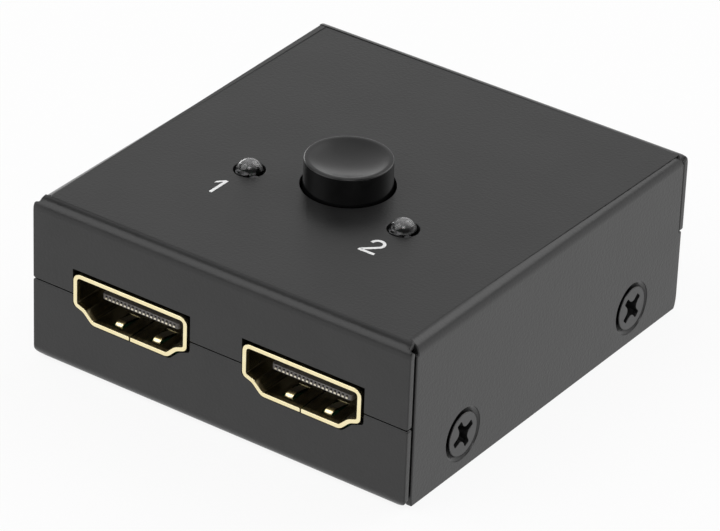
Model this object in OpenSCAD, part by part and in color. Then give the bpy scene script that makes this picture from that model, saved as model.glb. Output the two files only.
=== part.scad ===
// Two-way video switch box in a folded sheet case, in millimetres.
// X runs right along the front panel, Y runs to the back and Z is up.
// The origin lies on the underside, below the middle of the case.

/* [Case] */
// Width over the side walls
case_w = 48.5; // [46:0.5:60]
// Depth over the front and back panels
case_d = 52; // [50:0.5:70]
// Height from the underside to the top face
case_h = 19.5; // [19:0.5:26]
// Thickness of the folded sheet
sheet_t = 0.8; // [0.6:0.1:1]
// Outside radius of the folds
bend_r = 1.4; // [1.2:0.1:2]
// Height of the seam where the cover meets the tray
seam_z = 9.75; // [9:0.25:10.5]
// Gap along the seam
seam_gap = 0.1; // [0.05:0.05:0.3]
// Gap between the edge of a side wall and the panel before it
wall_gap = 0.4; // [0.2:0.1:0.8]
// Length of side fold cut away beyond the bend at each corner
fold_relief = 0.5; // [0.3:0.1:1]
// Width left free of the panel fold at each end of a panel
fold_inset = 0.9; // [0.9:0.1:1.4]
// Drop of a panel's end tab below the top face
tab_drop = 0.5; // [0.3:0.1:1]
// Chamfer on the outer corner of a panel's end tab
tab_chamfer = 0.5; // [0.2:0.1:0.8]
// Height of the tray's front end tabs above the underside
tab_lift = 0.6; // [0.3:0.1:1]
// Length that the side walls run on at the back, below the seam
wall_tail = 0.6; // [0.2:0.1:0.9]
// Round on the lower corners of the side walls
wall_round = 1.2; // [0.6:0.1:2]
// Gap between the tray's floor and the side walls
floor_gap = 0.15; // [0.1:0.05:0.4]

/* [Cover screws] */
// Distance from the front screws to the back screws
screw_pitch = 32; // [28:0.5:36]
// Distance of the screw pairs behind the middle of the case
screw_shift = 0.3; // [-1:0.1:1]
// Height of the screws
screw_z = 4.35; // [4:0.05:4.6]
// Thread diameter
screw_d = 3; // [2.5:0.1:3]
// Diameter of the countersunk head
screw_head_d = 5.1; // [5:0.1:5.6]
// Depth of the head's face below the wall's face
head_sink = 0.05; // [0:0.05:0.2]
// Ring of the countersink that shows round a head
sink_ring = 0.5; // [0.2:0.05:0.6]
// Depth of the countersink's straight wall
sink_wall = 0.1; // [0.05:0.05:0.4]
// Overall length of a screw
screw_len = 4; // [3.6:0.1:5]
// Width of the tray tab behind each screw
side_tab_w = 10; // [8:0.5:12]
// Height of that tab above the screw's axis
side_tab_rise = 4.25; // [3:0.05:5]
// Wall of the tapped collar behind the tab
collar_wall = 0.85; // [0.6:0.05:1.2]
// Length of the tapped collar
collar_len = 1.6; // [1:0.1:2]

/* [Ports] */
// Distance from a side wall's face to the middle of the port near it
port_inset = 13.15; // [12:0.05:14]
// Outside width of a port's shell
shell_w = 15; // [14.8:0.1:15.4]
// Outside height of a port's shell
shell_h = 5.55; // [5.45:0.05:5.8]
// Thickness of the shell
shell_t = 0.45; // [0.35:0.05:0.5]
// Length of the shell from mouth to rear
shell_len = 11; // [10:0.5:12]
// Width of the keyed corner on each side of the shell's bottom
shell_key = 2.5; // [2.2:0.1:2.8]
// Distance that a shell stands out of its panel
shell_proud = 0.25; // [0.1:0.05:0.6]
// Gap between a shell and the sides of its cut-out
port_gap = 0.25; // [0.15:0.05:0.4]
// Gap between a shell and the top of its cut-out
port_gap_top = 0.3; // [0.2:0.05:0.6]
// Width of the seam along the shell's bottom
shell_seam = 0.15; // [0.1:0.05:0.3]
// Distance from a shell's middle to each spring finger
finger_x = 2.5; // [2:0.1:3]
// Width of a spring finger
finger_w = 1.2; // [0.9:0.1:1.4]
// Length of a spring finger
finger_len = 2.8; // [2:0.1:3.4]
// Depth of the fingers' free ends behind the mouth
finger_back = 1.1; // [1:0.1:1.6]
// Rise of a finger above the inside of the shell
finger_rise = 0.45; // [0.2:0.05:0.6]
// Width of the tongue beyond its last contact
tongue_side = 0.5; // [0.3:0.05:0.6]
// Thickness of the contact tongue
tongue_t = 0.7; // [0.65:0.05:1.1]
// Depth of the tongue's front edge behind the mouth
tongue_back = 1.85; // [1.6:0.05:2.2]
// Depth of the insulator's block behind the mouth
block_back = 6.2; // [5.5:0.1:7]
// Distance between neighbouring contacts in a row
contact_pitch = 1; // [0.9:0.05:1]
// Width of a contact
contact_w = 0.25; // [0.2:0.05:0.35]
// Thickness of a contact
contact_t = 0.18; // [0.1:0.02:0.2]

/* [Board] */
// Height of the circuit board's underside
board_z = 5.4; // [5:0.1:6.4]
// Thickness of the circuit board
board_t = 1.6; // [1.2:0.1:1.8]
// Gap between the board and the front and back panels
board_gap = 0.3; // [0.2:0.1:1]
// Gap between the board's sides and the tray's tabs
board_side_gap = 0.5; // [0.3:0.1:1]
// Gap between the board's notches and the cover screws
notch_gap = 0.4; // [0.3:0.1:1]
// Width across the flats of a standoff
standoff_af = 4.5; // [4:0.1:5]
// Distance of the standoffs from the board's sides and back edge
standoff_edge = 5; // [4.6:0.1:6]
// Distance of the front standoffs behind the front ports
standoff_back = 4; // [3.2:0.1:5]
// Thread diameter of the board screws
board_screw_d = 2.5; // [2:0.1:2.6]
// Head diameter of the board screws
board_head_d = 4.4; // [4:0.1:4.8]
// Head height of the board screws
board_head_h = 1.5; // [1:0.1:1.8]
// Thread length of the board screws below the head
board_screw_len = 4.6; // [4:0.1:5]

/* [Button] */
// Place of the button to the right of the middle
button_x = -0.2; // [-1:0.1:1]
// Place of the button behind the middle
button_y = -2.85; // [-4:0.05:0]
// Diameter of the button cap
button_d = 9.75; // [9:0.05:10]
// Gap round the button in its hole
button_gap = 0.34; // [0.3:0.02:0.6]
// Height of the button above the top face
button_proud = 3.2; // [2.6:0.1:4]
// Travel of the button
button_travel = 2; // [1.2:0.1:2.2]
// Depth of the dish in the button's top
dish_depth = 0.55; // [0.3:0.05:0.9]
// Width of the rim round the dish
rim_w = 0.6; // [0.4:0.05:1]
// Wall of the button's skirt
cap_wall = 1.2; // [1:0.1:1.5]
// Thickness of the button's roof below the rim
cap_roof = 1.8; // [1.5:0.1:2.2]

/* [Switch] */
// Width of the switch housing
switch_w = 8.5; // [8.2:0.1:9]
// Height of the switch above the board
switch_h = 7.6; // [7.2:0.1:8]
// Wall of the switch housing
switch_wall = 0.9; // [0.7:0.05:1]
// Thickness of the switch base
base_t = 1.2; // [1:0.1:1.4]
// Width of the plunger's stem
stem_w = 3.4; // [3:0.1:3.8]
// Height of the plunger's block
plunger_h = 2.6; // [2.4:0.1:3]
// Outside diameter of the return spring
spring_d = 2.6; // [2.4:0.1:3]
// Wire diameter of the return spring
spring_wire = 0.28; // [0.2:0.02:0.32]
// Number of turns in the return spring
spring_turns = 5; // [4:1:6]
// Wire diameter of the latch
latch_d = 0.35; // [0.3:0.05:0.4]
// Distance between neighbouring switch terminals
terminal_pitch = 2.5; // [2:0.1:2.5]
// Width of a switch terminal
terminal_w = 0.6; // [0.4:0.1:0.8]

/* [Lamps] */
// Distance between the two lamps, one on each side of the button
lamp_pitch = 20; // [18:0.5:24]
// Place of the lamps behind the middle
lamp_y = -6.9; // [-9:0.05:-4]
// Diameter of a lamp
lamp_d = 3; // [2.8:0.1:3.2]
// Gap round a lamp in its hole
lamp_gap = 0.25; // [0.15:0.05:0.5]
// Length of a lamp from its flange to its tip
lamp_len = 5.3; // [4.6:0.1:5.6]
// Height of a lamp's tip above the top face
lamp_proud = 1.2; // [0.8:0.1:1.6]
// Diameter of a lamp's flange
lamp_flange_d = 3.8; // [3.6:0.1:4.2]
// Thickness of a lamp's flange
lamp_flange_t = 1; // [0.6:0.1:1.2]
// Distance between a lamp's leads
lead_pitch = 2.54; // [2.2:0.02:2.6]
// Width of a lamp's leads
lead_w = 0.5; // [0.4:0.05:0.6]
// Height of the leads' flat ends above the lamp's base
frame_h = 3.5; // [2.5:0.1:3.7]
// Gap between the flat ends
frame_gap = 0.4; // [0.3:0.05:0.6]
// Width of the flat end that holds the cup
anvil_w = 0.85; // [0.7:0.05:0.95]
// Width of the other flat end
post_w = 0.7; // [0.5:0.05:0.95]

/* [Chips] */
// Length of the selector chip
chip_w = 9; // [7:0.5:10]
// Width of the selector chip
chip_d = 3.5; // [3:0.1:4]
// Height of the selector chip
chip_h = 0.8; // [0.6:0.05:1]
// Place of the selector chip behind the middle
chip_y = 7.2; // [6:0.1:8]
// Distance between neighbouring pads of the selector chip
pad_pitch = 0.5; // [0.4:0.05:0.5]
// Length of the regulator
regulator_w = 2.9; // [2.6:0.1:3.2]
// Width of the regulator
regulator_d = 1.6; // [1.4:0.1:1.8]
// Height of the regulator
regulator_h = 1.1; // [0.9:0.1:1.3]
// Length of a chip resistor or capacitor
passive_l = 1.6; // [1:0.1:2]
// Width of a chip resistor or capacitor
passive_w = 0.8; // [0.5:0.1:1.2]
// Height of a chip resistor
resistor_h = 0.45; // [0.35:0.05:0.6]
// Height of a chip capacitor
capacitor_h = 0.8; // [0.5:0.1:1.2]

/* [Hidden] */
$fn = 64;

// Length that a cut runs past the face it opens
past = 1;
// Clearance round moulded, pressed and threaded pieces
fit_gap = 0.05;
// Clearance between the screw heads and their countersinks
seat_gap = 0.03;

half_w = case_w / 2;
half_d = case_d / 2;
panel_in_y = half_d - sheet_t;
wall_in_x = half_w - sheet_t;
wall_end_y = panel_in_y - wall_gap;
corner_relief = bend_r + fold_relief;
fold_end_x = half_w - fold_inset;
fold_end_y = half_d - corner_relief;
floor_x = wall_in_x - floor_gap;
cover_seam_z = seam_z + seam_gap / 2;
tray_seam_z = seam_z - seam_gap / 2;
cover_tab_z = case_h - tab_drop;
// Length that an end tab runs into its panel
tab_lap = 1;

screw_hole_d = screw_d + 2 * fit_gap;
sink_d = screw_head_d + 2 * sink_ring;
// Width of a head's cone where it leaves the wall, with its clearance
seat_d = max(screw_hole_d, screw_head_d - 2 * (sheet_t - head_sink - seat_gap));
side_tab_h = screw_z + side_tab_rise;
collar_d = screw_hole_d + 2 * collar_wall;
collar_end = 2 * sheet_t + collar_len;
tip_x = half_w - head_sink - screw_len;

board_top = board_z + board_t;
board_x = wall_in_x - sheet_t - board_side_gap;
board_y = panel_in_y - board_gap;
port_pitch = case_w - 2 * port_inset;
port_z = board_top + shell_h / 2;
port_y = half_d + shell_proud;
contact_gap = 0.1;
contact_foot = 0.9;
contact_rear = shell_len + contact_gap;
port_end_y = port_y - contact_rear - contact_foot;
standoff_x = board_x - standoff_edge;
standoff_front_y = -port_end_y + standoff_back;
standoff_rear_y = board_y - standoff_edge;

// Keyed mouth of a port: the flat of its bottom, the shoulder and the step below it
shell_flat = shell_w - 2 * shell_key;
shoulder_z = 1.15;
step_inset = 1.3;
step_z = 1.62;
// Shell legs: width, places behind the mouth, length below the board
leg_w = 1.4;
leg_places = [3.4, 8.4];
leg_below = 0.7;
leg_slot_gap = 0.15;
// Chamfer along the tongue's front edges: its height and its depth
nose_cut = 0.05;
nose_depth = 0.12;
// Height of the row of contact tips in the nose, from the middle of the port
tip_z = -0.1;
// Length of a contact's straight tip, and of its rise to the tongue's face
tip_len = 0.5;
contact_rise = 0.5;
upper_contacts = 10;
lower_contacts = 9;
tongue_w = (upper_contacts - 1) * contact_pitch + contact_w + 2 * tongue_side;

switch_top = board_top + switch_h;
base_top = board_top + base_t;
cavity_w = switch_w - 2 * switch_wall;
bridge_t = 0.15;
bridge_h = 1.6;
bridge_gap = 0.3;
terminal_t = 0.3;
terminal_gap = 0.1;
terminal_below = 1.2;
terminal_y = cavity_w / 2 - terminal_gap - terminal_t / 2;
plunger_w = 2 * (terminal_y - terminal_t / 2 - bridge_gap - bridge_t);
roof_z = switch_top - switch_wall;
stop_gap = 0.1;
block_top = roof_z - stop_gap;
block_bottom = block_top - plunger_h;
pocket_roof = 1;
spring_top = block_top - pocket_roof;
spring_gap = 0.3;
stem_gap = 0.3;
cap_gap = 0.4;
cap_bottom = switch_top + button_travel + cap_gap;
cap_top = case_h + button_proud;
stem_top = cap_top - cap_roof;
boss_wall = 0.5;
boss_d = sqrt(2) * (stem_w + 2 * fit_gap) + 2 * boss_wall;
// Edge round of the cap, and the draft of its side
cap_round = 0.18;
cap_draft = 0.075;
button_hole_d = button_d + 2 * button_gap;
latch_x = (plunger_w / 2 + cavity_w / 2) / 2;
latch_slot_w = latch_d + 2 * spring_gap;
latch_slot_depth = 0.7;
latch_z = block_bottom + plunger_h / 2;

lamp_hole_d = lamp_d + 2 * lamp_gap;
lamp_tip = case_h + lamp_proud;
lamp_base = lamp_tip - lamp_len;
lead_below = 1;
lead_hole_d = 0.9;
terminal_hole_d = 1;
board_hole_gap = 0.1;

// Places of the small chips on the board
regulator_place = [11, 3];
regulator_lead_pitch = 0.95;
// Thickness of the selector's pads and of the regulator's leads
pad_t = 0.1;
wing_t = 0.15;
resistor_places = [[-11, 2], [-11, 4], [-11, 6], [-8, 2], [-8, 4], [-8, 6]];
capacitor_places = [[8, 0], [11, 0.2], [8, 6], [8, 8], [-6.5, 9], [11, 6]];

function unit(v) = v / norm(v);

function wrap(list, i) = list[(i + len(list)) % len(list)];

// Unit normal that points out of a counter-clockwise outline
function out_normal(a, b) = unit([b.y - a.y, a.x - b.x]);

// Corner i of an outline whose sides have all moved out by g
function grown_corner(points, i, g) =
    let (p = points[i])
    let (n = out_normal(wrap(points, i - 1), p))
    let (m = out_normal(p, wrap(points, i + 1)))
    p + g * (n + m) / (1 + n * m);

function grown(points, g) = [for (i = [0 : len(points) - 1]) grown_corner(points, i, g)];

// Arc of radius r that replaces the corner b of the path a, b, c
function corner_arc(a, b, c, r, steps) =
    let (u = unit(a - b))
    let (v = unit(c - b))
    let (half = acos(u * v) / 2)
    let (centre = b + unit(u + v) * r / sin(half))
    let (from = b + u * r / tan(half) - centre)
    let (to = b + v * r / tan(half) - centre)
    [for (i = [0 : steps]) centre + r * unit(from * (steps - i) + to * i)];

function rounded(points, rounds, steps) = [
    for (i = [0 : len(points) - 1])
        each corner_arc(wrap(points, i - 1), points[i], wrap(points, i + 1), rounds[i], steps)
];

// Corners of the keyed mouth, counter-clockwise from the left end of its flat
mouth_corners = [
    [-shell_flat / 2, -shell_h / 2],
    [shell_flat / 2, -shell_h / 2],
    [shell_w / 2 - step_inset, -step_z],
    [shell_w / 2, -shoulder_z],
    [shell_w / 2, shell_h / 2],
    [-shell_w / 2, shell_h / 2],
    [-shell_w / 2, -shoulder_z],
    [-shell_w / 2 + step_inset, -step_z]
];
// Round of each corner, and 1 where the outline turns out or -1 where it turns in
mouth_radii = [0.6, 0.6, 0.6, 0.7, 0.9, 0.9, 0.7, 0.6];
mouth_turns = [1, 1, -1, 1, 1, 1, 1, -1];

// Keyed mouth grown by g, in the plane of the panel
module mouth(g) {
    polygon(rounded(grown(mouth_corners, g), mouth_radii + g * mouth_turns, 6));
}

// Upright sheet outline: square below, with both top corners rounded
module round_top(w, h, r) {
    translate([-w / 2, 0])
        square([w, h - r]);
    translate([-w / 2 + r, 0])
        square([w - 2 * r, h]);
    for (s = [-1, 1])
        translate([s * (w / 2 - r), h - r])
            circle(r);
}

// The same outline with its rounded corners at the bottom
module round_bottom(w, h, r) {
    translate([0, h])
        mirror([0, 1])
            round_top(w, h, r);
}

// Outline drawn in X and Z, extruded from y to y + length
module along_y(y, length) {
    translate([0, y + length, 0])
        rotate([90, 0, 0])
            linear_extrude(length)
                children();
}

// Outline drawn in Y and Z, extruded from x to x + length
module along_x(x, length) {
    translate([x, 0, 0])
        rotate([90, 0, 90])
            linear_extrude(length)
                children();
}

// A piece and its mirror image, left and right
module both_sides() {
    children();
    mirror([1, 0, 0])
        children();
}

// A piece and its mirror image, front and back
module both_panels() {
    children();
    mirror([0, 1, 0])
        children();
}

// Port 1 and port 2 face the front, port 3 is the common port and faces the back
module at_port(k) {
    x = k == 1 ? -port_pitch / 2 : k == 2 ? port_pitch / 2 : 0;
    rotate([0, 0, k == 3 ? 180 : 0])
        translate([x, -port_y, port_z])
            children();
}

// Each cover screw's place, with Z pointing into the case from the wall's face
module at_cover_screws() {
    for (s = [-1, 1], e = [-1, 1])
        translate([s * half_w, screw_shift + e * screw_pitch / 2, screw_z])
            rotate([0, -s * 90, 0])
                children();
}

module at_standoffs() {
    for (s = [-1, 1], y = [standoff_front_y, standoff_rear_y])
        translate([s * standoff_x, y, 0])
            children();
}

// Cut-out for a port: square above the shoulder, keyed below it
module port_cutout() {
    side = shell_w / 2 + port_gap;
    along_y(-past, shell_proud + sheet_t + 2 * past) {
        mouth(port_gap);
        translate([-side, -shoulder_z])
            square([2 * side, shoulder_z + shell_h / 2 + port_gap_top]);
    }
}

// Countersink in the wall, wider than the head, then the head's seat and the screw
// hole through the tab and the collar
module screw_hole() {
    seat_end = sheet_t + (seat_d - screw_hole_d) / 2;
    rotate_extrude()
        polygon([
            [0, -past],
            [sink_d / 2, -past],
            [sink_d / 2, sink_wall],
            [seat_d / 2, sheet_t],
            [screw_hole_d / 2, seat_end],
            [screw_hole_d / 2, collar_end + past],
            [0, collar_end + past]
        ]);
}

module port_cutouts() {
    for (k = [1 : 3])
        at_port(k)
            port_cutout();
}

// Side folds and top plate, cut short at the corners
module cover_roof() {
    along_y(-fold_end_y, 2 * fold_end_y)
        translate([0, case_h - corner_relief])
            difference() {
                round_top(case_w, corner_relief, bend_r);
                translate([0, -past])
                    round_top(case_w - 2 * sheet_t, corner_relief - sheet_t + past, bend_r - sheet_t);
            }
}

// Side walls, which run on at the back below the seam to cover the tray's back panel
module cover_walls() {
    both_sides()
        along_x(wall_in_x, sheet_t) {
            round_bottom(2 * wall_end_y, case_h - corner_relief, wall_round);
            translate([wall_tail, 0])
                round_bottom(2 * wall_end_y, tray_seam_z, wall_round);
        }
}

// Front and back folds with their panels, between the corner cuts
module cover_folds() {
    panel_h = case_h - cover_seam_z;
    along_x(-fold_end_x, 2 * fold_end_x)
        translate([0, cover_seam_z])
            difference() {
                round_top(case_d, panel_h, bend_r);
                translate([0, -past])
                    round_top(case_d - 2 * sheet_t, panel_h - sheet_t + past, bend_r - sheet_t);
                translate([-fold_end_y, -past])
                    square([2 * fold_end_y, panel_h + 2 * past]);
            }
}

// End tab of a panel, which covers the edge of a side wall. It is cut back at z_cut,
// and runs a little into the panel beyond the end of the bend at z_bend.
module panel_tab(x, z_cut, z_bend, z_square) {
    chamfer = sign(z_square - z_cut) * tab_chamfer;
    along_y(-half_d, sheet_t)
        polygon([
            [x - tab_lap, z_square],
            [half_w, z_square],
            [half_w, z_cut + chamfer],
            [half_w - tab_chamfer, z_cut],
            [x, z_cut],
            [x, z_bend],
            [x - tab_lap, z_bend]
        ]);
}

module top_cover() {
    color("#3f3f40")
        difference() {
            union() {
                cover_roof();
                cover_walls();
                cover_folds();
                both_panels()
                    both_sides()
                        panel_tab(fold_end_x, cover_tab_z, case_h - bend_r, cover_seam_z);
            }
            port_cutouts();
            at_cover_screws()
                screw_hole();
            translate([button_x, button_y, case_h - sheet_t - past])
                cylinder(d = button_hole_d, h = sheet_t + 2 * past);
            for (k = [1, 2])
                at_lamp(k, case_h - sheet_t - past)
                    cylinder(d = lamp_hole_d, h = sheet_t + 2 * past);
        }
}

// Floor and lower panels, notched where the side tabs fold up
module tray_floor() {
    notch_w = side_tab_w + 2 * fold_relief;
    difference() {
        along_x(-floor_x, 2 * floor_x)
            difference() {
                round_bottom(case_d, tray_seam_z, bend_r);
                translate([0, sheet_t])
                    round_bottom(case_d - 2 * sheet_t, tray_seam_z, bend_r - sheet_t);
            }
        for (s = [-1, 1], e = [-1, 1])
            translate([s * wall_in_x, screw_shift + e * screw_pitch / 2, sheet_t / 2])
                cube([2 * bend_r, notch_w, sheet_t + past], center = true);
    }
}

// Pair of side tabs folded up from the floor, one at each wall
module side_tabs() {
    inner_w = case_w - 2 * sheet_t;
    difference() {
        round_bottom(inner_w, side_tab_h, bend_r);
        translate([0, sheet_t])
            round_bottom(inner_w - 2 * sheet_t, side_tab_h, bend_r - sheet_t);
    }
}

module bottom_tray() {
    color("#3a3a3b")
        difference() {
            union() {
                tray_floor();
                for (e = [-1, 1])
                    along_y(screw_shift + (e * screw_pitch - side_tab_w) / 2, side_tab_w)
                        side_tabs();
                at_cover_screws()
                    translate([0, 0, 1.5 * sheet_t])
                        cylinder(d = collar_d, h = collar_end - 1.5 * sheet_t);
                both_sides()
                    panel_tab(floor_x, tab_lift, bend_r, tray_seam_z);
            }
            port_cutouts();
            at_cover_screws()
                screw_hole();
        }
}

// Cross recess for a driver, pointing into the head, with a tapered middle
module cross_recess(span, width, depth) {
    a = span / 2;
    b = width / 2;
    corners = [
        [a, -b], [a, b], [b, b],
        [b, a], [-b, a], [-b, b],
        [-a, b], [-a, -b], [-b, -b],
        [-b, -a], [b, -a], [b, -b]
    ];
    tip = b / 2;
    rounds = [tip, tip, b, tip, tip, b, tip, tip, b, tip, tip, b];
    translate([0, 0, -past]) {
        linear_extrude(depth + past)
            polygon(rounded(corners, rounds, 3));
        cylinder(r1 = 1.6 * b, r2 = b / 2, h = 2 * depth + past);
    }
}

module cover_screws() {
    cone_h = (screw_head_d - screw_d) / 2;
    point_h = 0.4;
    cross_turn = 60;
    cross_span = 3.5;
    cross_w = 0.75;
    cross_depth = 0.5;
    color("#1d1d1e")
        at_cover_screws()
            translate([0, 0, head_sink])
                difference() {
                    union() {
                        cylinder(d1 = screw_head_d, d2 = screw_d, h = cone_h);
                        cylinder(d = screw_d, h = screw_len - point_h);
                        translate([0, 0, screw_len - point_h])
                            cylinder(d1 = screw_d, d2 = screw_d - 2 * point_h, h = point_h);
                    }
                    rotate([0, 0, cross_turn])
                        cross_recess(cross_span, cross_w, cross_depth);
                }
}

// Profile of a spring finger in Y and Z, rooted at the back of its window, with its
// free end curled down towards the mouth
module finger_profile() {
    crest = 0.3 * finger_len;
    tip = 0.3 * finger_rise;
    polygon([
        [0, tip],
        [crest, finger_rise],
        [finger_len, 0],
        [finger_len, shell_t],
        [crest, finger_rise + shell_t],
        [crest / 3, 0.75 * finger_rise + shell_t],
        [0, tip + shell_t / 2]
    ]);
}

// Four spring fingers, two in the bottom of the shell and two in its top
module fingers() {
    for (m = [0, 1], s = [-1, 1])
        mirror([0, 0, m])
            translate([s * finger_x, finger_back, -shell_h / 2])
                along_x(-finger_w / 2, finger_w)
                    finger_profile();
}

module finger_windows() {
    window_gap = 0.25;
    w = finger_w + 2 * window_gap;
    for (m = [0, 1], s = [-1, 1])
        mirror([0, 0, m])
            translate([s * finger_x - w / 2, finger_back - window_gap, -shell_h / 2 - past])
                cube([w, finger_len + window_gap, past + shell_t + fit_gap]);
}

module shell_legs() {
    leg_low = -shell_h / 2 - board_t - leg_below;
    both_sides()
        for (y = leg_places)
            translate([shell_w / 2 - shell_t, y, leg_low])
                cube([shell_t, leg_w, -leg_low]);
}

module port_shell(k) {
    color("#d9bf78")
        at_port(k) {
            difference() {
                along_y(0, shell_len)
                    difference() {
                        mouth(0);
                        mouth(-shell_t);
                    }
                translate([-shell_seam / 2, -past, -shell_h / 2 - past])
                    cube([shell_seam, shell_len + 2 * past, past + shell_t + fit_gap]);
                finger_windows();
            }
            shell_legs();
            fingers();
        }
}

// Tongue seen from the side, with its nose chamfered
module tongue_profile() {
    polygon([
        [tongue_back, nose_cut - tongue_t / 2],
        [tongue_back + nose_depth, -tongue_t / 2],
        [block_back, -tongue_t / 2],
        [block_back, tongue_t / 2],
        [tongue_back + nose_depth, tongue_t / 2],
        [tongue_back, tongue_t / 2 - nose_cut]
    ]);
}

module port_insulator(k) {
    color("#2a2622")
        at_port(k) {
            along_y(block_back, shell_len - block_back)
                mouth(-shell_t - fit_gap);
            along_x(-tongue_w / 2, tongue_w)
                tongue_profile();
        }
}

// One contact seen from the side: a tip that shows in the tongue's nose, a rise to the
// tongue's face, then blade, drop and foot, with side 1 above the tongue and -1 below it
module contact_profile(side) {
    skin = contact_t / 2;
    face = side * (tongue_t / 2 + skin);
    back = side * (tongue_t / 2 - skin);
    tip_in = tip_z - side * skin;
    tip_out = tip_z + side * skin;
    front = tongue_back - skin;
    bend = tongue_back + tip_len;
    rise = bend + contact_rise;
    board = -shell_h / 2;
    near = contact_rear;
    far = contact_rear + contact_t;
    polygon([
        [front, tip_in],
        [front, tip_out],
        [bend - skin, tip_out],
        [rise - skin, face],
        [side > 0 ? far : near, face],
        [side > 0 ? far : near, board + (side > 0 ? contact_t : 0)],
        [near + contact_foot, board + (side > 0 ? contact_t : 0)],
        [near + contact_foot, board + (side > 0 ? 0 : contact_t)],
        [side > 0 ? near : far, board + (side > 0 ? 0 : contact_t)],
        [side > 0 ? near : far, back],
        [rise + skin, back],
        [bend + skin, tip_in]
    ]);
}

module port_contacts(k, count, side) {
    color("#e3cf94")
        at_port(k)
            for (i = [0 : count - 1])
                along_x((i - (count - 1) / 2) * contact_pitch - contact_w / 2, contact_w)
                    contact_profile(side);
}

// Slots for the shell legs, seen from a port
module leg_slots() {
    both_sides()
        for (y = leg_places)
            translate([
                shell_w / 2 - shell_t - leg_slot_gap,
                y - leg_slot_gap,
                -shell_h / 2 - board_t - past
            ])
                cube([shell_t + 2 * leg_slot_gap, leg_w + 2 * leg_slot_gap, board_t + 2 * past]);
}

// Notches in the board's sides, clear of the cover screws and their collars
module board_notches() {
    w = collar_d + 2 * notch_gap;
    x = tip_x - notch_gap;
    for (e = [-1, 1])
        both_sides()
            translate([x, screw_shift + (e * screw_pitch - w) / 2, board_z - past])
                cube([half_w - x, w, board_t + 2 * past]);
}

// Hole through the board at one place
module board_hole(x, y, d) {
    translate([x, y, board_z - past])
        cylinder(d = d, h = board_t + 2 * past);
}

module circuit_board() {
    color("#1f5a3a")
        difference() {
            translate([-board_x, -board_y, board_z])
                cube([2 * board_x, 2 * board_y, board_t]);
            board_notches();
            for (k = [1 : 3])
                at_port(k)
                    leg_slots();
            at_standoffs()
                board_hole(0, 0, board_screw_d + 2 * board_hole_gap);
            for (k = [1, 2], e = [-1, 1])
                board_hole(lamp_x(k) + e * lead_pitch / 2, lamp_y, lead_hole_d);
            for (i = [-1 : 1], e = [-1, 1])
                board_hole(button_x + i * terminal_pitch, button_y + e * terminal_y, terminal_hole_d);
        }
}

module board_standoffs() {
    bore = board_screw_d + 2 * fit_gap;
    color("#c8a850")
        at_standoffs()
            translate([0, 0, sheet_t])
                difference() {
                    cylinder(d = standoff_af / cos(30), h = board_z - sheet_t, $fn = 6);
                    translate([0, 0, sheet_t])
                        cylinder(d = bore, h = board_z);
                }
}

module board_screws() {
    color("#b9bcc0")
        at_standoffs()
            translate([0, 0, board_top])
                difference() {
                    union() {
                        cylinder(d = board_head_d, h = board_head_h);
                        translate([0, 0, -board_screw_len])
                            cylinder(d = board_screw_d, h = board_screw_len);
                    }
                    translate([0, 0, board_head_h])
                        mirror([0, 0, 1])
                            cross_recess(0.6 * board_head_d, 0.16 * board_head_d, 0.6 * board_head_h);
                }
}

// Moves a piece drawn round the button's axis to its place
module at_button(z) {
    translate([button_x, button_y, z])
        children();
}

module square_post(w, h) {
    translate([-w / 2, -w / 2, 0])
        cube([w, w, h]);
}

// Outside of the cap turned about its axis, narrowing a little to a rounded edge
module cap_outline(r, h) {
    top_r = r - cap_draft;
    polygon([
        [0, 0],
        [r, 0],
        [top_r, h - cap_round],
        [top_r - cap_round, h],
        [0, h]
    ]);
    translate([top_r - cap_round, h - cap_round])
        circle(cap_round);
}

module button_cap() {
    cap_h = cap_top - cap_bottom;
    dish_r = button_d / 2 - rim_w;
    ball_r = (dish_r * dish_r + dish_depth * dish_depth) / (2 * dish_depth);
    color("#18181a")
        at_button(cap_bottom)
            difference() {
                rotate_extrude()
                    cap_outline(button_d / 2, cap_h);
                translate([0, 0, cap_h + ball_r - dish_depth])
                    sphere(ball_r, $fn = 128);
                difference() {
                    translate([0, 0, -past])
                        cylinder(d = button_d - 2 * cap_wall, h = cap_h - cap_roof + past);
                    cylinder(d = boss_d, h = cap_h);
                }
                translate([0, 0, -past])
                    square_post(stem_w + 2 * fit_gap, stem_top - cap_bottom + fit_gap + past);
            }
}

module switch_plunger() {
    color("#e7e5de")
        difference() {
            union() {
                at_button(block_bottom)
                    square_post(plunger_w, plunger_h);
                at_button(block_bottom)
                    square_post(stem_w, stem_top - block_bottom);
            }
            at_button(block_bottom - past)
                cylinder(d = spring_d + 2 * spring_gap, h = plunger_h - pocket_roof + past);
            at_button(block_bottom - past)
                translate([plunger_w / 2 - latch_slot_depth, -latch_slot_w / 2, 0])
                    cube([latch_slot_depth + past, latch_slot_w, plunger_h + 2 * past]);
        }
}

// Spring contacts on the front and back faces of the plunger's block
module switch_bridges() {
    bridge_w = plunger_w - 2 * bridge_t;
    color("#d8b85c")
        at_button(block_bottom + (plunger_h - bridge_h) / 2)
            both_panels()
                translate([-bridge_w / 2, -plunger_w / 2 - bridge_t, 0])
                    cube([bridge_w, bridge_t, bridge_h]);
}

// Ring of a coil's wire at one step along the helix
function coil_ring(step, per_turn, radius, pitch, wire_r, sides) =
    let (turn = 360 * step / per_turn)
    [
        for (j = [0 : sides - 1])
            let (a = 360 * j / sides)
            let (r = radius + wire_r * cos(a))
            [r * cos(turn), r * sin(turn), pitch * step / per_turn + wire_r * sin(a)]
    ];

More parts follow.
